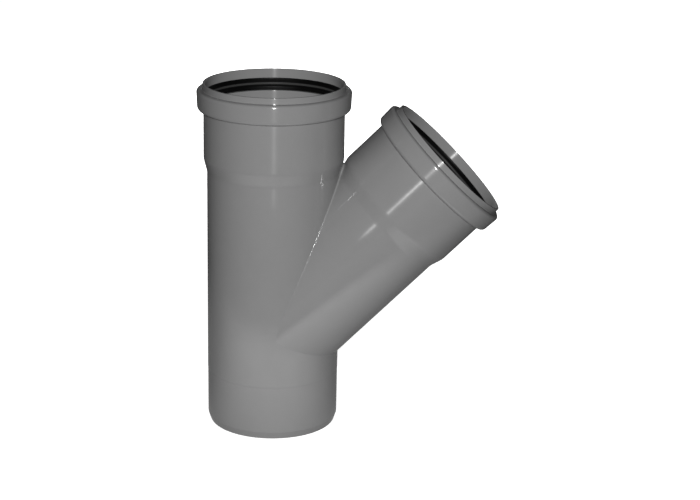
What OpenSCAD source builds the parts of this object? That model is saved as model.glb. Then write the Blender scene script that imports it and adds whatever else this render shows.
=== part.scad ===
// A 45 degree branch fitting for drain pipe: a straight run with a plain spigot at its foot and a
// push-fit socket at its head, and an equal branch with a second socket. One moulding holds both
// sockets, and each socket's collar holds a loose rubber lip seal.
// Millimetres. The origin is on the run's axis at the spigot's end, +Z runs up the run,
// and the branch leans towards +X.

/* [Pipe] */
// Outside diameter of the pipe that the fitting joins, and of its own spigot
pipe_d = 110; // [90:1:130]
// Wall of the run and of the branch
pipe_wall = 2.7; // [2:0.1:4]
// Angle between the run and the branch
branch_angle = 45; // [43:1:60]
// Height of the point where the two axes cross, above the spigot's end
centre_h = 85; // [80:1:110]
// Length along each axis from that point to the socket's mouth
socket_reach = 206; // [200:1:240]
// How much smaller the branch pipe's radius is than the run's
branch_step = 0.1; // [0.05:0.05:0.5]

/* [Spigot] */
// Length of the spigot, up to the small step in the run
spigot_len = 45; // [35:1:55]
// Height of the step above the spigot's surface
step_rise = 0.15; // [0.1:0.05:0.3]
// Length over which the step rises
step_len = 1.5; // [1.2:0.1:3]
// Length of the lead-in chamfer on the spigot's end
chamfer_len = 6; // [4:0.5:8]
// Depth of that chamfer
chamfer_depth = 2; // [1:0.1:2.4]

/* [Socket] */
// Radial clearance between the pipe and the socket's barrel
socket_clear = 0.3; // [0.1:0.05:0.5]
// Wall of the socket's barrel
barrel_wall = 2.7; // [2.5:0.1:4]
// Length of the barrel below the collar
barrel_len = 40; // [30:0.5:45]
// Length of the cone that narrows the barrel to the pipe
cone_len = 11; // [9:0.5:16]
// Radius that blends the cone into the barrel and into the pipe
blend_r = 14; // [4:1:20]
// Distance of the pipe stop inside below the start of the cone outside
stop_shift = 1.5; // [1:0.1:2.5]
// Length of the pipe stop's slope
stop_len = 6; // [4:0.5:8]

/* [Collar] */
// Height of the collar that holds the seal
collar_h = 17.5; // [16:0.5:22]
// How far the collar stands out from the barrel
collar_rise = 5.7; // [5:0.1:7]
// How much narrower the collar is at its foot than at its top
collar_draft = 0.7; // [0:0.1:1]
// How much higher the collar's underside is at its outside
under_rise = 1.5; // [1:0.1:2]
// Wall between the seal's groove and the collar's outside
collar_wall = 3; // [2.5:0.1:3.5]
// Thickness of the collar's roof over the groove
roof_wall = 3; // [2:0.1:4]
// Thickness of the collar's floor under the groove
floor_wall = 4; // [3:0.1:5]
// Radius on the collar's upper shoulder
upper_round = 2.4; // [0.8:0.1:2.4]
// Radius on the collar's lower shoulder
lower_round = 3.3; // [2:0.1:3.5]
// Small radius in the inside corners
inner_round = 0.5; // [0.3:0.1:0.7]

/* [Lip] */
// Height of the lip above the collar
lip_h = 5; // [4:0.5:9]
// How far the lip stands out from the barrel
lip_rise = 0.5; // [0.2:0.1:1]
// Wall of the lip
lip_wall = 1.9; // [1.5:0.1:2.4]
// Radius on the lip's two edges
lip_round = 0.7; // [0.3:0.1:0.7]

/* [Seal] */
// Gap between the seal and the groove that it sits in
seal_gap = 0.1; // [0.05:0.05:0.2]
// How far the seal's head stands back from the lip's inside
head_set = 0.4; // [0.2:0.1:0.8]
// Height of the straight part of the seal's head
head_h = 0.8; // [0.5:0.1:1.2]
// Depth of the upper bead's crest below the seal's top
bead_depth = 3.9; // [3.5:0.1:4.3]
// How far the bead's crest stands inside the pipe's surface
bead_bite = 0.1; // [0:0.1:0.5]
// Radius of the bead's crest
bead_round = 0.5; // [0.3:0.1:0.6]
// Depth of the valley between the bead and the lip
valley_depth = 0.7; // [0.5:0.1:1]
// How far the relaxed sealing lip stands inside the pipe's surface
lip_bite = 1.1; // [0.8:0.1:1.6]
// Length of the sealing lip's straight land
land_len = 2; // [1.5:0.1:2.5]
// Height of the land's lower edge above the seal's foot
lip_lift = 1.5; // [1:0.1:2]
// Thickness of the sealing lip
lip_t = 1.3; // [1:0.1:1.6]
// Height of the slot under the lip
slot_h = 3.6; // [3:0.1:4.2]
// Thickness of the seal's back behind the slot
back_t = 3; // [2.6:0.1:3.4]

/* [Hidden] */
$fn = 96;

// Radii, from the pipe outwards
pipe_r = pipe_d / 2;
run_r = pipe_r + step_rise;
branch_r = run_r - branch_step;
run_bore_r = pipe_r - pipe_wall;
branch_bore_r = run_bore_r - branch_step;
barrel_bore_r = pipe_r + socket_clear;
barrel_r = barrel_bore_r + barrel_wall;
collar_r = barrel_r + collar_rise;
groove_r = collar_r - collar_wall;
lip_r = barrel_r + lip_rise;
mouth_r = lip_r - lip_wall;

// Height of the run socket's mouth
run_top = centre_h + socket_reach;

// Depths, from the socket's mouth downwards
groove_top = lip_h + roof_wall;
collar_foot = lip_h + collar_h;
groove_foot = collar_foot - floor_wall;
cone_top = collar_foot + barrel_len;
cone_foot = cone_top + cone_len;
stop_top = cone_top + stop_shift;
stop_foot = stop_top + stop_len;

// Seal, in the groove
seal_top = groove_top + seal_gap;
seal_foot = groove_foot - seal_gap;
seal_back_r = groove_r - seal_gap;
seal_head_r = mouth_r + head_set;
bead_r = pipe_r - bead_bite;
bead_at = seal_top + bead_depth;
valley_r = bead_r + valley_depth;
valley_at = bead_at + valley_depth;
seal_lip_r = pipe_r - lip_bite;
land_foot = seal_foot - lip_lift;
land_top = land_foot - land_len;
slot_r = seal_back_r - back_t;

// Cutters run past what they cut by this much
past = 1;
// Arcs cross the sides that they blend by this much
arc_over = 0.001;
// Sides of a full circle in the small arcs of the sections
arc_faces = 64;

// Direction from one point to another, as a unit vector
function heading(from, to) = (to - from) / norm(to - from);

// Half of the angle at v between the sides to p and to q
function half_angle(p, v, q) = acos(heading(v, p) * heading(v, q)) / 2;

// The wanted radius at v, or less where the sides are too short for it
function fitting_radius(p, v, q, want) =
    min(want, 0.48 * min(norm(p - v), norm(q - v)) * tan(half_angle(p, v, q)));

// Positive where an anticlockwise outline turns left, at its outer corners
function turn(p, v, q) = cross(v - p, q - v);

// What lies between a corner at v and an arc along both of its sides. The arc crosses the sides
// by arc_over, and the chip runs past the corner, so no two edges only graze each other.
module corner_chip(p, v, q, want) {
    half = half_angle(p, v, q);
    radius = fitting_radius(p, v, q, want);
    reach = radius / tan(half);
    inwards = heading([0, 0], heading(v, p) + heading(v, q));
    before = v + reach * heading(v, p);
    after = v + reach * heading(v, q);
    beyond = v - inwards * radius / 2;
    difference() {
        polygon(turn(p, v, q) > 0 ? [before, beyond, after] : [after, beyond, before]);
        translate(v + inwards * radius / sin(half)) circle(radius + arc_over, $fn = arc_faces);
    }
}

// An anticlockwise outline with a true arc at each corner whose radius isn't 0.
// Each corner is [x, y, radius].
module rounded_outline(corners) {
    n = len(corners);
    points = [for (c = corners) [c[0], c[1]]];
    difference() {
        union() {
            polygon(points);
            for (i = [0 : n - 1]) {
                p = points[(i + n - 1) % n];
                q = points[(i + 1) % n];
                if (corners[i][2] > 0 && turn(p, points[i], q) < 0)
                    corner_chip(p, points[i], q, corners[i][2]);
            }
        }
        for (i = [0 : n - 1]) {
            p = points[(i + n - 1) % n];
            q = points[(i + 1) % n];
            if (corners[i][2] > 0 && turn(p, points[i], q) > 0)
                corner_chip(p, points[i], q, corners[i][2]);
        }
    }
}

// Outside corners of a socket on a pipe of radius r, with its mouth at height 0
function socket_corners(r) = [
    [r, -cone_foot, blend_r],
    [barrel_r, -cone_top, blend_r],
    [barrel_r, -collar_foot, inner_round],
    [collar_r - collar_draft, under_rise - collar_foot, lower_round],
    [collar_r, -lip_h, upper_round],
    [lip_r, -lip_h, inner_round],
    [lip_r, 0, lip_round],
    [0, 0, 0]
];

// Inside corners of the same socket, open at its mouth
function socket_bore_corners(r) = [
    [r, -stop_foot, inner_round],
    [barrel_bore_r, -stop_top, inner_round],
    [barrel_bore_r, -groove_foot, inner_round],
    [groove_r, -groove_foot, inner_round],
    [groove_r, -groove_top, inner_round],
    [mouth_r, -groove_top, inner_round],
    [mouth_r, 0, lip_round],
    [mouth_r + past, 0, 0],
    [mouth_r + past, past, 0],
    [0, past, 0]
];

// Section of the seal: a square back, a bead that centres the pipe and a lip that seals on it
seal_corners = [
    [slot_r, -seal_foot, inner_round],
    [seal_back_r, -seal_foot, inner_round],
    [seal_back_r, -seal_top, inner_round],
    [seal_head_r, -seal_top, inner_round],
    [seal_head_r, -seal_top - head_h, inner_round],
    [bead_r, -bead_at, bead_round],
    [valley_r, -valley_at, inner_round],
    [seal_lip_r, -land_top, inner_round],
    [seal_lip_r, -land_foot, 0],
    [seal_lip_r + lip_t, -land_foot, inner_round],
    [slot_r, -seal_foot + slot_h, inner_round]
];

// What follows hangs from the run socket's mouth
module at_run_mouth() {
    translate([0, 0, run_top]) children();
}

// What follows hangs from the branch socket's mouth
module at_branch_mouth() {
    translate([0, 0, centre_h]) rotate([0, branch_angle, 0]) translate([0, 0, socket_reach]) children();
}

// Solid outer form of the run, from the spigot's chamfer to the upper lip
module run_form() {
    rotate_extrude()
        rounded_outline(concat(
            [
                [0, -run_top, 0],
                [pipe_r - chamfer_depth, -run_top, 0],
                [pipe_r, chamfer_len - run_top, 0],
                [pipe_r, spigot_len - run_top, 0],
                [run_r, spigot_len + step_len - run_top, 0]
            ],
            socket_corners(run_r)
        ));
}

// Solid form of the way through the run, open at both ends
module run_hollow() {
    rotate_extrude()
        rounded_outline(concat(
            [[0, -run_top - past, 0], [run_bore_r, -run_top - past, 0]],
            socket_bore_corners(run_bore_r)
        ));
}

// Solid outer form of the branch, from the crossing of the axes
module branch_form() {
    rotate_extrude()
        rounded_outline(concat(
            [[0, -socket_reach, 0], [branch_r, -socket_reach, 0]],
            socket_corners(branch_r)
        ));
}

// Solid form of the way through the branch, open at its mouth
module branch_hollow() {
    rotate_extrude()
        rounded_outline(concat(
            [[0, -socket_reach, 0], [branch_bore_r, -socket_reach, 0]],
            socket_bore_corners(branch_bore_r)
        ));
}

module seal_ring() {
    rotate_extrude() rounded_outline(seal_corners);
}

// The moulding: run, branch and both sockets in one piece
module fitting() {
    color([0.5, 0.5, 0.5])
        difference() {
            union() {
                at_run_mouth() run_form();
                at_branch_mouth() branch_form();
            }
            at_run_mouth() run_hollow();
            at_branch_mouth() branch_hollow();
        }
}

module run_seal() {
    color([0.08, 0.08, 0.08]) at_run_mouth() seal_ring();
}

module branch_seal() {
    color([0.08, 0.08, 0.08]) at_branch_mouth() seal_ring();
}

fitting();
run_seal();
branch_seal();
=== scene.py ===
"""The looks of a 45 degree branch fitting for drain pipe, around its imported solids.

The moulding's skin is made again from the sections that its solid has, with true normals and a
small fillet where the two arms meet. The rubber seals keep their own solids and get a material.
"""

import math

import bpy
import numpy as np
from mathutils import Matrix, Vector
from mathutils.geometry import delaunay_2d_cdt


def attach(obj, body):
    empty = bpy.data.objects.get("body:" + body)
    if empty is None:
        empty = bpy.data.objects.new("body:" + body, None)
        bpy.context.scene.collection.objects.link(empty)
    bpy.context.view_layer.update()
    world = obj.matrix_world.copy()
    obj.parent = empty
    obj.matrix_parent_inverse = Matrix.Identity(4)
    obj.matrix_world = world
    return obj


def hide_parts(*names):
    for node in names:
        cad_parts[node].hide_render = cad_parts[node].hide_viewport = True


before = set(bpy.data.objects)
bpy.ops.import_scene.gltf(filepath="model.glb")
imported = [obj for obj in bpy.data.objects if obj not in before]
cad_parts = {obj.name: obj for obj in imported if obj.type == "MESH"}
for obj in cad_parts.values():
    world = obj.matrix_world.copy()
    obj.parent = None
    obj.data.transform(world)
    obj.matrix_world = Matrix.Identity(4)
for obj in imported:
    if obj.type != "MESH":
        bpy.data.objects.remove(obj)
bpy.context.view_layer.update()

MM = 0.001

# Sizes of the fitting in millimetres, as its solids have them
PIPE_R = 55.0
PIPE_WALL = 2.7
STEP_RISE = 0.15
BRANCH_STEP = 0.1
SOCKET_CLEAR = 0.3
BARREL_WALL = 2.7
LIP_RISE = 0.5
LIP_WALL = 1.9
COLLAR_RISE = 5.7
COLLAR_WALL = 3.0
COLLAR_DRAFT = 0.7
UNDER_RISE = 1.5

# Radii that follow from them
RUN_R = PIPE_R + STEP_RISE
BRANCH_R = RUN_R - BRANCH_STEP
RUN_BORE_R = PIPE_R - PIPE_WALL
BRANCH_BORE_R = RUN_BORE_R - BRANCH_STEP
BARREL_BORE_R = PIPE_R + SOCKET_CLEAR
BARREL_R = BARREL_BORE_R + BARREL_WALL
LIP_R = BARREL_R + LIP_RISE
MOUTH_R = LIP_R - LIP_WALL
LIP_MIDDLE_R = (LIP_R + MOUTH_R) / 2
COLLAR_R = BARREL_R + COLLAR_RISE
GROOVE_R = COLLAR_R - COLLAR_WALL

# Lengths along the arms
CENTRE_H = 85.0
REACH = 206.0
RUN_TOP = CENTRE_H + REACH
BRANCH_ANGLE = math.radians(45)
SPIGOT_LEN = 45.0
STEP_LEN = 1.5
CHAMFER_LEN = 6.0
CHAMFER_DEPTH = 2.0

# Depths below a socket's mouth
LIP_H = 5.0
GROOVE_TOP = 8.0
GROOVE_FOOT = 18.5
COLLAR_FOOT = 22.5
CONE_TOP = 62.5
CONE_FOOT = 73.5
STOP_TOP = 64.0
STOP_FOOT = 70.0
SEAL_CREST = 12.3

# Radii of the rounded edges
BLEND_R = 14.0
COLLAR_LOW_R = 3.3
COLLAR_TOP_R = 2.4
LIP_EDGE_R = 0.7
INSIDE_R = 0.5
SOFT_STEP_R = 1.5
CHAMFER_EDGE_R = 0.15
BORE_END_R = 0.2

# Radius of the fillet where the arms meet, outside and in the bores
CREASE_R = 0.9
BORE_CREASE_R = 0.8
# The fillet's depth below a mouth, as the material reads it. At its true depth the material is
# smoother, and the highlight on the fillet would be too short.
FILLET_DEPTH = 60.0

# Fineness of the skin: faces around an arm, longest row, and the steps of its arcs
AROUND = 192
ROW_GAP = 5.0
ARC_STEP = math.radians(11)
FEWEST_STEPS = 3
# Finer steps of the arcs that the crease is found from, and faces along and across its fillet
FINE_STEP = math.radians(3)
CREASE_POINTS = 384
CREASE_STEPS = 6
# An arc takes at most this share of the shorter side beside it
SIDE_SHARE = 0.48
# Grid points keep this far from the crease, and rows this far from a band's ends and each other
CLEAR_OF_CREASE = 0.55
CLEAR_OF_ENDS = 0.3
CLEAR_OF_ROW = 0.02
# Rows of the branch's patch run this far past the crease
ROWS_PAST_CREASE = 1.0
# Points that agree to this many digits of a millimetre are one
WELD_DIGITS = 4
# Lengths and angles that count as nothing
TINY = 1e-9
FLAT_TINY = 1e-7
CLOSED_ANGLE = 1e-3

# The crease is searched for along the branch's axis, from below the crossing of the axes to 5 mm
# under the collar, first in steps and then by halving
SEARCH_FOOT = -60.0
SEARCH_TOP = REACH - COLLAR_FOOT - 5
SEARCH_STEP = 0.5
HALVINGS = 40
# The branch's own sections start here, below the crossing of the axes
BRANCH_START = -70.0

# The run's patch, with the hole for the branch: its foot and top along the axis, and the share of
# the columns that it leaves out on each side of the back
RUN_PATCH_FOOT = 52.0
RUN_PATCH_TOP = 240.0
RUN_PATCH_LEAVES = 0.22
# The place along the branch's axis where its patch ends
BRANCH_PATCH_TOP = 150.0

# Where the skins lie on the material's map: millimetres on the map, and the map's own size
MAP_SIZE = 720.0
MAP_EDGE = 4.0
MAP_GAP = 6.0
BRANCH_MAP_AT = 340.0
BRANCH_BORE_MAP_AT = 380.0


class Arm:
    """One straight arm of the fitting: its axis, and the directions that its angle turns from."""

    def __init__(self, origin, tilt, mouth):
        self.origin = np.array(origin, float)
        self.mouth = mouth
        self.axis = np.array([math.sin(tilt), 0, math.cos(tilt)])
        self.side = np.array([math.cos(tilt), 0, -math.sin(tilt)])
        self.across = np.array([0.0, 1.0, 0.0])

    def outwards(self, angle):
        """Direction away from the axis at an angle."""
        return np.multiply.outer(np.cos(angle), self.side) + np.multiply.outer(np.sin(angle), self.across)

    def around(self, angle):
        """Direction around the axis at an angle."""
        return np.multiply.outer(np.cos(angle), self.across) - np.multiply.outer(np.sin(angle), self.side)

    def point(self, radius, along, angle):
        """The point at a radius, a place along the axis and an angle."""
        return self.origin + np.multiply.outer(along, self.axis) + radius[..., None] * self.outwards(angle)

    def direction(self, radial, axial, angle):
        """The direction with these two shares at an angle."""
        return np.multiply.outer(axial, self.axis) + radial[..., None] * self.outwards(angle)

    def section_of(self, points):
        """Radius, place along the axis and angle of points."""
        offset = points - self.origin
        u, v = offset @ self.side, offset @ self.across
        return np.hypot(u, v), offset @ self.axis, np.arctan2(v, u)


RUN = Arm((0, 0, 0), 0.0, RUN_TOP)
BRANCH = Arm((0, 0, CENTRE_H), BRANCH_ANGLE, REACH)


class Section:
    """An open outline of radius and place along an axis, with true arcs at its corners.

    Its normals lie to the right of its direction. Each corner is (radius, along, rounding).
    """

    def __init__(self, corners, arc_step, row_gap):
        self.points, self.normals = [], []
        xy = [np.array(corner[:2], float) for corner in corners]
        last = len(corners) - 1
        for i, corner in enumerate(corners):
            if i in (0, last):
                way = xy[1] - xy[0] if i == 0 else xy[last] - xy[last - 1]
                self._add(xy[i], way / np.linalg.norm(way))
            else:
                self._arc(xy[i - 1], xy[i], xy[i + 1], corner[2], arc_step)
        if row_gap:
            self._split(row_gap)
        self.points = np.array(self.points)
        self.normals = np.array(self.normals)
        steps = np.linalg.norm(np.diff(self.points, axis=0), axis=1)
        self.length = np.concatenate([[0], np.cumsum(steps)])

    def _add(self, point, way):
        """A point of the outline, which goes this way there."""
        self.points.append(point)
        self.normals.append(np.array([way[1], -way[0]]))

    def _arc(self, before, corner, after, radius, arc_step):
        """Rounds a corner, with a smaller radius where its sides are too short."""
        side_in, side_out = np.linalg.norm(corner - before), np.linalg.norm(after - corner)
        way_in = (corner - before) / side_in
        way_out = (after - corner) / side_out
        turn = math.atan2(way_in[0] * way_out[1] - way_in[1] * way_out[0], way_in @ way_out)
        half = (math.pi - abs(turn)) / 2
        radius = min(radius, SIDE_SHARE * min(side_in, side_out) * math.tan(half))
        left = math.copysign(1, turn)
        inwards = np.array([-way_in[1], way_in[0]])
        centre = corner - way_in * radius / math.tan(half) + left * radius * inwards
        steps = max(FEWEST_STEPS, math.ceil(abs(turn) / arc_step))
        for t in np.linspace(0, turn, steps + 1):
            way = np.array([
                way_in[0] * math.cos(t) - way_in[1] * math.sin(t),
                way_in[0] * math.sin(t) + way_in[1] * math.cos(t),
            ])
            self._add(centre + left * radius * np.array([way[1], -way[0]]), way)

    def _split(self, row_gap):
        """Adds points where two neighbours are further apart than the row gap."""
        points, normals = [self.points[0]], [self.normals[0]]
        for i in range(1, len(self.points)):
            a, b = self.points[i - 1], self.points[i]
            count = max(1, math.ceil(np.linalg.norm(b - a) / row_gap))
            for k in range(1, count + 1):
                points.append(a + (b - a) * k / count)
                mixed = self.normals[i - 1] * (1 - k / count) + self.normals[i] * k / count
                normals.append(mixed / np.linalg.norm(mixed))
        self.points, self.normals = points, normals

    def at(self, length):
        """Point and normal at a length along the outline."""
        point = np.stack([np.interp(length, self.length, self.points[:, k]) for k in (0, 1)], -1)
        normal = np.stack([np.interp(length, self.length, self.normals[:, k]) for k in (0, 1)], -1)
        return point, normal / np.linalg.norm(normal, axis=-1, keepdims=True)

    def nearest(self, places):
        """Signed distance of places from the outline, and the length along it of the nearest point."""
        start, way = self.points[:-1], np.diff(self.points, axis=0)
        offset = places[:, None] - start
        share = np.clip((offset * way).sum(-1) / (way * way).sum(-1), 0, 1)
        gap = offset - share[..., None] * way
        distance = np.linalg.norm(gap, axis=-1)
        best = distance.argmin(1)
        row = np.arange(len(places))
        length = self.length[best] + share[row, best] * np.linalg.norm(way[best], axis=1)
        side = (gap[row, best] * self.at(length)[1]).sum(1)
        return np.copysign(distance[row, best], side), length

    def length_at(self, along):
        """Length at which the outline first passes a place along the axis."""
        for i in range(len(self.points) - 1):
            here, there = self.points[i, 1], self.points[i + 1, 1]
            if (here - along) * (there - along) <= 0 and here != there:
                share = (along - here) / (there - here)
                return self.length[i] + share * (self.length[i + 1] - self.length[i])
        raise ValueError("the outline does not pass this place")

    def rows(self, low, high):
        """The outline's own lengths between two lengths, both of them included."""
        own = self.length[(self.length > low + CLEAR_OF_ENDS) & (self.length < high - CLEAR_OF_ENDS)]
        if len(own):
            own = own[np.concatenate([[True], np.diff(own) > CLEAR_OF_ROW])]
        return np.concatenate([[low], own, [high]])


def socket_outside(radius, mouth):
    """Corners of a socket's outside, from the pipe of this radius up to the lip's top."""
    return [
        (radius, mouth - CONE_FOOT, BLEND_R),
        (BARREL_R, mouth - CONE_TOP, BLEND_R),
        (BARREL_R, mouth - COLLAR_FOOT, INSIDE_R),
        (COLLAR_R - COLLAR_DRAFT, mouth - COLLAR_FOOT + UNDER_RISE, COLLAR_LOW_R),
        (COLLAR_R, mouth - LIP_H, COLLAR_TOP_R),
        (LIP_R, mouth - LIP_H, INSIDE_R),
        (LIP_R, mouth, LIP_EDGE_R),
        (LIP_MIDDLE_R, mouth, 0),
    ]


def socket_inside(radius, mouth):
    """Corners of the same socket's inside, from the lip's top down to the bore of this radius."""
    return [
        (LIP_MIDDLE_R, mouth, 0),
        (MOUTH_R, mouth, LIP_EDGE_R),
        (MOUTH_R, mouth - GROOVE_TOP, INSIDE_R),
        (GROOVE_R, mouth - GROOVE_TOP, INSIDE_R),
        (GROOVE_R, mouth - GROOVE_FOOT, INSIDE_R),
        (BARREL_BORE_R, mouth - GROOVE_FOOT, INSIDE_R),
        (BARREL_BORE_R, mouth - STOP_TOP, INSIDE_R),
        (radius, mouth - STOP_FOOT, INSIDE_R),
    ]


# The outside and the inside of the run meet in the middle of the spigot's end face
CHAMFER_R = PIPE_R - CHAMFER_DEPTH
SPIGOT_FACE_R = (RUN_BORE_R + CHAMFER_R) / 2

SPIGOT_CORNERS = [
    (SPIGOT_FACE_R, 0, 0),
    (CHAMFER_R, 0, CHAMFER_EDGE_R),
    (PIPE_R, CHAMFER_LEN, SOFT_STEP_R),
    (PIPE_R, SPIGOT_LEN, SOFT_STEP_R),
    (RUN_R, SPIGOT_LEN + STEP_LEN, SOFT_STEP_R),
]
BORE_END_CORNERS = [(RUN_BORE_R, 0, BORE_END_R), (SPIGOT_FACE_R, 0, 0)]


def outside_sections(arc_step, row_gap):
    """Outlines of the run's and the branch's outside, from the foot up."""
    return (
        Section(SPIGOT_CORNERS + socket_outside(RUN_R, RUN_TOP), arc_step, row_gap),
        Section([(BRANCH_R, BRANCH_START, 0)] + socket_outside(BRANCH_R, REACH), arc_step, row_gap),
    )


def inside_sections(arc_step, row_gap):
    """Outlines of the run's and the branch's inside, from the mouth down."""
    branch_end = [(BRANCH_BORE_R, BRANCH_START, 0)]
    return (
        Section(socket_inside(RUN_BORE_R, RUN_TOP) + BORE_END_CORNERS, arc_step, row_gap),
        Section(socket_inside(BRANCH_BORE_R, REACH) + branch_end, arc_step, row_gap),
    )


def crease(run, branch, radius, outside):
    """A ball of this radius rolled along the crease between two skins.

    Returns, for each angle around the branch, the ball's centre, the lengths along both sections
    and the angle around the run where it touches. The sections of the bores have normals towards
    the axis, so there the ball lies against them.
    """
    flip = 1 if outside else -1
    angles = np.linspace(0, 2 * math.pi, CREASE_POINTS + 1) - math.pi
    steps = np.arange(branch.length[0], branch.length[-1], SEARCH_STEP)
    along = branch.at(steps)[0][:, 1]
    steps = steps[(along < SEARCH_TOP) & (along > SEARCH_FOOT)]
    if outside:
        steps = steps[::-1]

    def gap(length, angle):
        """How far a ball that rests on the branch at this length is from the run."""
        point, normal = branch.at(length)
        centre = point + flip * radius * normal
        place = BRANCH.point(centre[..., 0], centre[..., 1], angle)
        r, height, _ = RUN.section_of(place)
        distance, touch = run.nearest(np.stack([r, height], -1))
        return flip * distance - radius, place, touch

    # The ball comes along the branch from its mouth's side until it meets the run
    centres, run_length, branch_length, run_angle = [], [], [], []
    for angle in angles:
        inside = gap(steps, np.full(len(steps), angle))[0] < 0
        first = inside.argmax()
        near, far = steps[first], steps[first - 1]
        for _ in range(HALVINGS):
            middle = (near + far) / 2
            if gap(np.array([middle]), np.array([angle]))[0][0] < 0:
                near = middle
            else:
                far = middle
        _, place, touch = gap(np.array([far]), np.array([angle]))
        centres.append(place[0])
        run_length.append(touch[0])
        branch_length.append(far)
        run_angle.append(RUN.section_of(place)[2][0])
    return angles, np.array(centres), np.array(run_length), np.array(branch_length), np.array(run_angle)


class Skin:
    """Collects the points, normals, maps and faces of the moulding."""

    def __init__(self):
        self.points, self.normals, self.around = [], [], []
        self.depth, self.maps, self.faces = [], [], []
        self.count = 0

    def add(self, points, normals, around, depth, maps):
        """Keeps points with what belongs to them, and returns the number of the first."""
        start = self.count
        self.points.append(points)
        self.normals.append(normals)
        self.around.append(around)
        self.depth.append(depth)
        self.maps.append(maps)
        self.count += len(points)
        return start

    def surface(self, arm, section, lengths, angles, corner):
        """Points of a revolved skin. corner is where its map starts."""
        point, normal = section.at(lengths)
        return self.add(
            arm.point(point[:, 0], point[:, 1], angles),
            arm.direction(normal[:, 0], normal[:, 1], angles),
            arm.around(angles),
            arm.mouth - point[:, 1],
            np.stack([angles * PIPE_R + corner[0], lengths + corner[1]], -1),
        )

    def weave(self, start, high, wide):
        """Faces between the rows of points that begin at start."""
        for i in range(high - 1):
            for j in range(wide - 1):
                k = start + i * wide + j
                self.faces.append((k, k + 1, k + wide + 1, k + wide))

    def band(self, arm, section, rows, columns, corner):
        """A grid between these rows and columns."""
        length, angle = np.meshgrid(rows, columns, indexing="ij")
        start = self.surface(arm, section, length.ravel(), angle.ravel(), corner)
        self.weave(start, len(rows), len(columns))

    def patch(self, arm, section, corner, flat, edges, keep):
        """Triangles through flat points (angle times radius, length), of which keep chooses."""
        _, _, faces, origin, _, _ = delaunay_2d_cdt([Vector(p) for p in flat], edges, [], 0, FLAT_TINY)
        start = self.surface(arm, section, flat[:, 1], flat[:, 0] / PIPE_R, corner)
        for face in faces:
            ids = [origin[v][0] for v in face]
            if keep(flat[ids].mean(0)):
                self.faces.append(tuple(start + i for i in ids))

    def fillet(self, centres, run_side, branch_side, radius, outside, corner, flat):
        """The strip that the rolling ball leaves between its lines of touch on the two arms."""
        flip = 1 if outside else -1
        course = np.gradient(centres, axis=0)
        a = (run_side - centres) / radius
        b = (branch_side - centres) / radius
        open_angle = np.arccos(np.clip((a * b).sum(1), -1, 1))[:, None]
        wide = len(centres)
        start = self.count
        for k in range(CREASE_STEPS + 1):
            t = k / CREASE_STEPS
            with np.errstate(invalid="ignore", divide="ignore"):
                way = (np.sin((1 - t) * open_angle) * a + np.sin(t * open_angle) * b) / np.sin(open_angle)
            way = np.where(open_angle < CLOSED_ANGLE, b * t + a * (1 - t), way)
            way /= np.linalg.norm(way, axis=1, keepdims=True)
            place = centres + radius * way
            down = (1 - t) * open_angle[:, 0] * radius
            maps = flat + np.array(corner) - np.stack([np.zeros(wide), flip * down], -1)
            over = np.cross(way, course)
            over *= np.sign((over * BRANCH.around(BRANCH.section_of(place)[2])).sum(1))[:, None]
            over /= np.maximum(np.linalg.norm(over, axis=1), TINY)[:, None]
            self.add(place, -flip * way, over, np.full(wide, FILLET_DEPTH), maps)
        self.weave(start, CREASE_STEPS + 1, wide)

    def mesh(self, name):
        """One welded mesh with its normals, its map and what the material reads."""
        points, normals = np.concatenate(self.points), np.concatenate(self.normals)
        around, depth = np.concatenate(self.around), np.concatenate(self.depth)
        _, first, back = np.unique(
            np.round(points, WELD_DIGITS), axis=0, return_index=True, return_inverse=True,
        )
        back = back.ravel()
        # Welded corners drop out, and each face is turned the way that its normals point
        faces, corners = [], []
        for face in self.faces:
            ids = [int(back[i]) for i in face]
            own = [i for k, i in enumerate(face) if ids[k] != ids[k - 1]]
            ids = [int(back[i]) for i in own]
            if len(set(ids)) < 3 or len(set(ids)) != len(ids):
                continue
            p = points[own]
            facing = np.cross(p[1] - p[0], p[2] - p[0])
            if len(own) == 4:
                facing = np.cross(p[2] - p[0], p[3] - p[1])
            if facing @ normals[own].sum(0) < 0:
                own, ids = own[::-1], ids[::-1]
            faces.append(ids)
            corners += own
        me = bpy.data.meshes.new(name)
        me.from_pydata((points[first] * MM).tolist(), [], faces)
        layer = me.uv_layers.new(name="OFBake")
        maps = np.concatenate(self.maps)[corners] / MAP_SIZE
        layer.uv.foreach_set("vector", maps.astype(np.float32).ravel())
        turning = me.attributes.new("turning", "FLOAT_VECTOR", "POINT")
        turning.data.foreach_set("vector", around[first].astype(np.float32).ravel())
        place = me.attributes.new("depth", "FLOAT", "POINT")
        place.data.foreach_set("value", (depth[first] * MM).astype(np.float32))
        me.shade_smooth()
        me.normals_split_custom_set_from_vertices(normals[first].tolist())
        me.validate()
        return me


def in_loop(place, loop):
    """Whether a flat place lies inside a closed loop of flat points."""
    a, b = loop, np.roll(loop, -1, axis=0)
    crosses = (a[:, 1] > place[1]) != (b[:, 1] > place[1])
    with np.errstate(invalid="ignore", divide="ignore"):
        at = a[:, 0] + (place[1] - a[:, 1]) * (b[:, 0] - a[:, 0]) / (b[:, 1] - a[:, 1])
    return bool((crosses & (place[0] < at)).sum() % 2)


def clear_of(places, line):
    """Which flat places lie clear of a line of flat points."""
    a, way = line[:-1], np.diff(line, axis=0)
    size = (way * way).sum(1)
    a, way, size = a[size > 0], way[size > 0], size[size > 0]
    keep = np.ones(len(places), bool)
    for i, place in enumerate(places):
        share = np.clip(((place - a) * way).sum(1) / size, 0, 1)
        keep[i] = np.linalg.norm(place - a - share[:, None] * way, axis=1).min() > CLEAR_OF_CREASE
    return keep


def flat_grid(columns, rows):
    """Flat points at these angles and lengths."""
    place, length = np.meshgrid(columns * PIPE_R, rows)
    return np.stack([place.ravel(), length.ravel()], -1)


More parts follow.
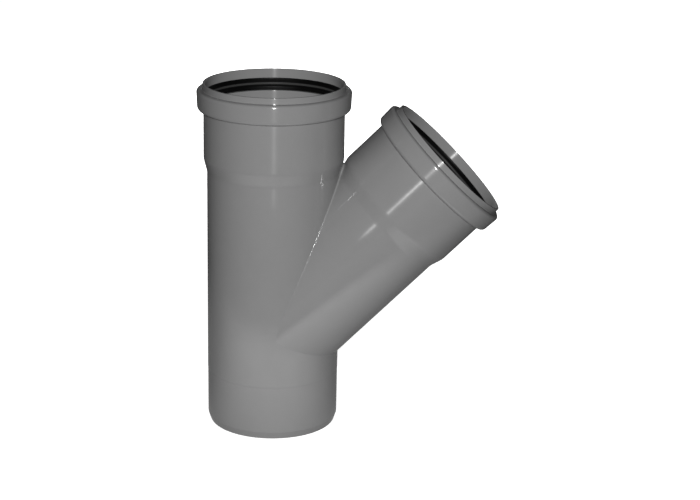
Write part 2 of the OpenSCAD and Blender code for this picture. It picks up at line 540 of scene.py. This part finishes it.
def run_skin(skin, run, loop, columns, corner):
    """The run's skin: bands below, above and behind, and a patch with the branch's hole in it."""
    zone_angle = columns[round(AROUND * RUN_PATCH_LEAVES)]
    in_zone = columns[(columns > zone_angle - TINY) & (columns < -zone_angle + TINY)]
    low, high = sorted((run.length_at(RUN_PATCH_FOOT), run.length_at(RUN_PATCH_TOP)))
    rows = run.rows(low, high)
    skin.band(RUN, run, run.rows(0, low), columns, corner)
    skin.band(RUN, run, run.rows(high, run.length[-1]), columns, corner)
    skin.band(RUN, run, rows, columns[columns < zone_angle + TINY], corner)
    skin.band(RUN, run, rows, columns[columns > -zone_angle - TINY], corner)
    grid = flat_grid(in_zone, rows)
    free = np.array([not in_loop(p, loop) for p in grid])
    free &= clear_of(grid, np.concatenate([loop, loop[:1]]))
    n = len(loop)
    edges = [(i, (i + 1) % n) for i in range(n)]
    flat = np.concatenate([loop, grid[free]])
    skin.patch(RUN, run, corner, flat, edges, lambda p: not in_loop(p, loop))


def branch_skin(skin, branch, line, outside, columns, corner):
    """The branch's skin: a patch that starts at the crease, and a band up to the lip."""
    top = branch.length_at(BRANCH_PATCH_TOP)
    if outside:
        skin.band(BRANCH, branch, branch.rows(top, branch.length[-1]), columns, corner)
        rows = branch.rows(line[:, 1].min() - ROWS_PAST_CREASE, top)
    else:
        skin.band(BRANCH, branch, branch.rows(0, top), columns, corner)
        rows = branch.rows(top, line[:, 1].max() + ROWS_PAST_CREASE)

    def beyond(p):
        """Whether flat points lie on the mouth's side of the crease."""
        edge = np.interp(p[..., 0], line[:, 0], line[:, 1])
        return p[..., 1] > edge if outside else p[..., 1] < edge

    grid = flat_grid(columns, rows)
    free = beyond(grid) & clear_of(grid, line)
    edges = [(i, i + 1) for i in range(len(line) - 1)]
    skin.patch(BRANCH, branch, corner, np.concatenate([line, grid[free]]), edges, beyond)


def arm_skins(skin, coarse, fine, radius, outside, corners):
    """Both arms' outside or inside skins and the fillet between them, from their sections."""
    run, branch = coarse
    fine_run, fine_branch = fine
    angles, centres, run_touch, branch_touch, run_angle = crease(fine_run, fine_branch, radius, outside)
    run_point, _ = fine_run.at(run_touch)
    branch_point, _ = fine_branch.at(branch_touch)
    loop = np.stack([run_angle * PIPE_R, run.nearest(run_point)[1]], -1)[:-1]
    line = np.stack([angles * PIPE_R, branch.nearest(branch_point)[1]], -1)
    run_side = RUN.point(run_point[:, 0], run_point[:, 1], run_angle)
    branch_side = BRANCH.point(branch_point[:, 0], branch_point[:, 1], angles)
    columns = np.linspace(-math.pi, math.pi, AROUND + 1)
    run_skin(skin, run, loop, columns, corners[0])
    branch_skin(skin, branch, line, outside, columns, corners[1])
    skin.fillet(centres, run_side, branch_side, radius, outside, corners[1], line)


def add_object(name, data):
    """A new object in the scene."""
    made = bpy.data.objects.new(name, data)
    bpy.context.scene.collection.objects.link(made)
    return made


def make_fitting():
    """The moulding as one closed skin."""
    skin = Skin()
    wide = 2 * math.pi * PIPE_R
    out_at = wide / 2 + MAP_EDGE
    in_at = out_at + wide + MAP_GAP
    for sections, radius, outside, corners in (
        (outside_sections, CREASE_R, True, ((out_at, MAP_EDGE), (out_at, BRANCH_MAP_AT))),
        (inside_sections, BORE_CREASE_R, False, ((in_at, MAP_EDGE), (in_at, BRANCH_BORE_MAP_AT))),
    ):
        coarse, fine = sections(ARC_STEP, ROW_GAP), sections(FINE_STEP, None)
        arm_skins(skin, coarse, fine, radius, outside, corners)
    return add_object("fitting_skin", skin.mesh("fitting_skin"))


class Nodes:
    """Short calls for the nodes of a material or of the world."""

    def __init__(self, tree):
        self.tree = tree
        tree.nodes.clear()

    def node(self, kind, links=None, **values):
        """A shader node. links gives each input a value or another node's output."""
        made = self.tree.nodes.new("ShaderNode" + kind)
        for key, value in values.items():
            setattr(made, key, value)
        for key, value in (links or {}).items():
            if isinstance(value, bpy.types.NodeSocket):
                self.tree.links.new(value, made.inputs[key])
            else:
                made.inputs[key].default_value = value
        return made

    def math(self, operation, a, b=0.0, c=0.0):
        """The result of a sum on up to three values."""
        return self.node("Math", {0: a, 1: b, 2: c}, operation=operation).outputs[0]

    def noise(self, place, scale, detail):
        """Noise from 0 to 1 at a place."""
        return self.node("TexNoise", {"Vector": place, "Scale": scale, "Detail": detail}).outputs["Fac"]

    def spread(self, value, low, high):
        """A value from 0 to 1 spread from low to high."""
        return self.node("MapRange", {"Value": value, "To Min": low, "To Max": high}).outputs["Result"]

    def ramp(self, value, start, end, low, high):
        """A value that eases from low to high while the input goes from start to end."""
        return self.node("MapRange", {
            "Value": value, "From Min": start, "From Max": end, "To Min": low, "To Max": high,
        }, interpolation_type="SMOOTHSTEP").outputs["Result"]

    def grey(self, level):
        """The grey of this level."""
        return self.node("CombineColor", {0: level, 1: level, 2: level}).outputs["Color"]

    def rays(self):
        """The kinds of ray, and 1 where the camera looks straight or through clear material."""
        kinds = self.node("LightPath").outputs
        return kinds, self.math("MAXIMUM", kinds["Is Camera Ray"], kinds["Is Transmission Ray"])


def new_material(name):
    """An empty material and the short calls for its nodes."""
    material = bpy.data.materials.new(name)
    material.use_nodes = True
    return material, Nodes(material.node_tree)


# Refractive index of the plastic and of the rubber
GLOSS_INDEX = 1.5

# The moulding's level, and how far the clouds and the mottling take it up or down
PLASTIC_LEVEL = 0.22
CLOUD_TONE = 0.008
MOTTLE_TONE = 0.006
# Its roughness lies between these two, and the turning marks take it up or down
PLASTIC_ROUGH = (0.14, 0.18)
RING_ROUGH = 0.01
# From one depth in metres to the other, the roughness falls to this share
SMOOTH_FROM = 0.082
SMOOTH_TO = 0.102
SMOOTH_SHARE = 0.36
# How much each texture counts in the bump's height
GRAIN_HEIGHT = 0.35
RING_HEIGHT = 0.3
WAVE_HEIGHT = 1.2


def grey_plastic():
    """Semi-gloss grey moulding with faint turning marks around each arm, smoother deep below a mouth."""
    material, n = new_material("grey_plastic")
    place = n.node("TexCoord").outputs["Object"]
    depth = n.node("Attribute", attribute_name="depth").outputs["Fac"]
    turning = n.node("Attribute", attribute_name="turning").outputs["Vector"]
    ring_at = n.node("CombineXYZ", {"X": depth}).outputs["Vector"]
    cloud = n.noise(place, scale=9.0, detail=3.0)
    mottle = n.noise(place, scale=70.0, detail=4.0)
    grain = n.noise(place, scale=420.0, detail=2.0)
    rings = n.noise(ring_at, scale=900.0, detail=2.0)
    waves = n.noise(ring_at, scale=140.0, detail=1.0)
    clouds = n.spread(cloud, -CLOUD_TONE, CLOUD_TONE)
    mottles = n.spread(mottle, -MOTTLE_TONE, MOTTLE_TONE)
    level = n.math("ADD", n.math("ADD", clouds, mottles), PLASTIC_LEVEL)
    roughness = n.math("ADD", n.spread(mottle, *PLASTIC_ROUGH), n.spread(rings, -RING_ROUGH, RING_ROUGH))
    smoother = n.ramp(depth, SMOOTH_FROM, SMOOTH_TO, 1.0, SMOOTH_SHARE)
    height = n.math("ADD", n.math("MULTIPLY", grain, GRAIN_HEIGHT), n.math("MULTIPLY", rings, RING_HEIGHT))
    height = n.math("ADD", height, n.math("MULTIPLY", waves, WAVE_HEIGHT))
    bump = n.node("Bump", {"Strength": 0.05, "Distance": 0.0006, "Height": height})
    shader = n.node("BsdfPrincipled", {
        "Base Color": n.grey(level),
        "Roughness": n.math("MULTIPLY", roughness, smoother),
        "IOR": GLOSS_INDEX,
        "Anisotropic": 0.95,
        "Anisotropic Rotation": 0.25,
        "Normal": bump.outputs["Normal"],
        "Tangent": turning,
    })
    n.node("OutputMaterial", {"Surface": shader.outputs["BSDF"]})
    return material


# The seals' level and roughness, and the painted highlight on each crest, a lighter line in the colour
# where light
# would catch the crest: half its width in metres, where it starts to fade, and how much lighter it is
RUBBER_LEVEL = (0.001, 0.003)
RUBBER_ROUGH = (0.36, 0.5)
CREST_HIGHLIGHT_HALF = 0.0012
CREST_HIGHLIGHT_FADE = 0.0003
CREST_HIGHLIGHT_LEVEL = 0.045


def black_rubber(name, arm):
    """Matte black rubber with a fine grain, and a painted highlight: a lighter line on the crest of the
    arm's seal.
    """
    material, n = new_material(name)
    place = n.node("TexCoord").outputs["Object"]
    cloud = n.noise(place, scale=60.0, detail=4.0)
    grain = n.noise(place, scale=900.0, detail=3.0)
    along = n.node("VectorMath", {0: place, 1: arm.axis.tolist()}, operation="DOT_PRODUCT").outputs["Value"]
    crest = (float(arm.origin @ arm.axis) + arm.mouth - SEAL_CREST) * MM
    off = n.math("ABSOLUTE", n.math("SUBTRACT", along, crest))
    # Painted highlight: the base colour is lighter in a thin line along the seal's crest, where light would
    # catch it
    painted_highlight = n.ramp(off, CREST_HIGHLIGHT_FADE, CREST_HIGHLIGHT_HALF, CREST_HIGHLIGHT_LEVEL, 0.0)
    bump = n.node("Bump", {"Strength": 0.2, "Distance": 0.0002, "Height": grain})
    shader = n.node("BsdfPrincipled", {
        "Base Color": n.grey(n.math("ADD", n.spread(cloud, *RUBBER_LEVEL), painted_highlight)),
        "Roughness": n.spread(cloud, *RUBBER_ROUGH),
        "IOR": GLOSS_INDEX,
        "Specular IOR Level": 0.15,
        "Normal": bump.outputs["Normal"],
    })
    n.node("OutputMaterial", {"Surface": shader.outputs["BSDF"]})
    return material


# The floor, in metres. Bounced light sees it white up to the first distance from its centre and
# black from the second. Each pair holds the value in front of the fitting and the one behind it.
FLOOR_REACH = 12.0
WHITE_CENTRE = (-0.02, 0, 0)
WHITE_FROM = (0.24, 0.18)
WHITE_TO = (0.36, 0.48)
WHITE_LEVEL = (1.0, 0.12)
# Between these places along Y the values in front change to the ones behind
FRONT_Y = -0.24
BEHIND_Y = 0.06
# How much of that white diffuse and glossy rays see
DIFFUSE_SHARE = 0.25
GLOSSY_SHARE = 0.9
# The camera's own white starts lower near the fitting, so that its shadow shows
SHADOW_FROM = 0.15
SHADOW_TO = 0.7
SHADOW_LEVEL = 0.75
# The floor's own colour, where it is black and where it is white
FLOOR_COLOUR = (0.08, 0.8)

# The room's white for diffuse and for glossy rays
ROOM_FILL = 0.01
ROOM_GLOSS = 0.01


def pale_floor():
    """A floor that the camera sees as white, with the shadow kept near the fitting.

    For bounced light it is white in front, dimmer behind, and dark further out.
    """
    material, n = new_material("pale_floor")
    place = n.node("NewGeometry").outputs["Position"]
    distance = n.node("VectorMath", {0: place, 1: WHITE_CENTRE}, operation="DISTANCE").outputs["Value"]
    behind = n.ramp(n.node("SeparateXYZ", {0: place}).outputs["Y"], FRONT_Y, BEHIND_Y, 0.0, 1.0)
    start, end, level = (n.spread(behind, *pair) for pair in (WHITE_FROM, WHITE_TO, WHITE_LEVEL))
    white = n.ramp(distance, start, end, level, 0.0)
    kinds, seen = n.rays()
    bounced = n.math("MULTIPLY", kinds["Is Diffuse Ray"], DIFFUSE_SHARE)
    bounced = n.math("MULTIPLY_ADD", kinds["Is Glossy Ray"], GLOSSY_SHARE, bounced)
    to_camera = n.ramp(distance, SHADOW_FROM, SHADOW_TO, SHADOW_LEVEL, 1.0)
    strength = n.math("MULTIPLY_ADD", to_camera, seen, n.math("MULTIPLY", bounced, white))
    glow = n.node("Emission", {"Color": (1, 1, 1, 1), "Strength": strength})
    colour = n.grey(n.spread(n.math("MAXIMUM", seen, white), *FLOOR_COLOUR))
    surface = n.node("BsdfDiffuse", {"Color": colour})
    both = n.node("AddShader", {0: surface.outputs["BSDF"], 1: glow.outputs["Emission"]})
    n.node("OutputMaterial", {"Surface": both.outputs["Shader"]})
    return material


def make_floor():
    """One large plane under the fitting."""
    far = FLOOR_REACH
    me = bpy.data.meshes.new("floor")
    me.from_pydata([(-far, -far, 0), (far, -far, 0), (far, far, 0), (-far, far, 0)], [], [(0, 1, 2, 3)])
    me.materials.append(pale_floor())
    add_object("floor", me)


def make_room():
    """A world that the camera sees as white and that lights the fitting only faintly."""
    world = bpy.data.worlds.new("room")
    bpy.context.scene.world = world
    world.use_nodes = True
    n = Nodes(world.node_tree)
    kinds, seen = n.rays()
    level = n.math("MAXIMUM", seen, n.math("MULTIPLY", kinds["Is Glossy Ray"], ROOM_GLOSS))
    level = n.math("MAXIMUM", level, n.math("MULTIPLY", kinds["Is Diffuse Ray"], ROOM_FILL))
    back = n.node("Background", {"Color": (1, 1, 1, 1), "Strength": level})
    n.node("OutputWorld", {"Surface": back.outputs["Background"]})


# Where the lamps stand and what they are aimed at, in metres
LAMP_AIM = (0.04, 0, 0.15)
FRONT_LAMP_AT = (0.027, -1.43, 0.675)
BACK_LAMP_AT = (0.05, 1.6, 0.65)


def round_lamp(name, place, size, watts, mirrored):
    """A round lamp, of which gloss shows an image only if it is mirrored."""
    lamp = bpy.data.lights.new(name, "AREA")
    lamp.shape = "DISK"
    lamp.size = size
    lamp.energy = watts
    thing = add_object(name, lamp)
    thing.location = place
    way = Vector(LAMP_AIM) - Vector(place)
    thing.rotation_euler = way.to_track_quat("-Z", "Y").to_euler()
    thing.visible_glossy = mirrored


def make_lamps():
    """A small lamp above the camera, and a larger one for the fitting's back."""
    round_lamp("front_lamp", FRONT_LAMP_AT, size=0.055, watts=22.3, mirrored=True)
    round_lamp("back_lamp", BACK_LAMP_AT, size=0.4, watts=20.0, mirrored=False)


# The camera, fitted to the outlines of the photograph at 700 by 500 pixels
CAMERA_AT = (0.0290947, -1.431248, 0.600056)
CAMERA_YAW = math.radians(1.4022)
CAMERA_PITCH = math.radians(-17.4840)
CAMERA_ROLL = math.radians(1.1235)
FOCAL_PX = 1790.6
FRAME_W = 700
SENSOR_W = 36.0
FARTHEST_SEEN = 50.0


def make_camera():
    """The camera, turned by yaw, pitch and roll from a level look along +Y."""
    forward = Vector((
        math.sin(CAMERA_YAW) * math.cos(CAMERA_PITCH),
        math.cos(CAMERA_YAW) * math.cos(CAMERA_PITCH),
        math.sin(CAMERA_PITCH),
    ))
    level = Vector((math.cos(CAMERA_YAW), -math.sin(CAMERA_YAW), 0))
    upright = level.cross(forward)
    right = level * math.cos(CAMERA_ROLL) + upright * math.sin(CAMERA_ROLL)
    up = upright * math.cos(CAMERA_ROLL) - level * math.sin(CAMERA_ROLL)
    lens = bpy.data.cameras.new("camera")
    lens.sensor_width = SENSOR_W
    lens.lens = FOCAL_PX * SENSOR_W / FRAME_W
    lens.clip_end = FARTHEST_SEEN
    camera = add_object("camera", lens)
    turned = Matrix((right, up, -forward)).transposed().to_4x4()
    camera.matrix_world = Matrix.Translation(CAMERA_AT) @ turned
    bpy.context.scene.camera = camera


def dress(piece, material):
    """Gives every slot of a solid this material."""
    if not piece.data.materials:
        piece.data.materials.append(material)
    for slot in piece.material_slots:
        slot.material = material


bpy.context.scene.view_settings.view_transform = "Standard"
make_camera()
make_floor()
make_room()
make_lamps()

fitting = make_fitting()
fitting.data.materials.append(grey_plastic())
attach(fitting, "root")
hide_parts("fitting")

for name, arm in (("run_seal", RUN), ("branch_seal", BRANCH)):
    dress(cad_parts[name], black_rubber(name + "_rubber", arm))
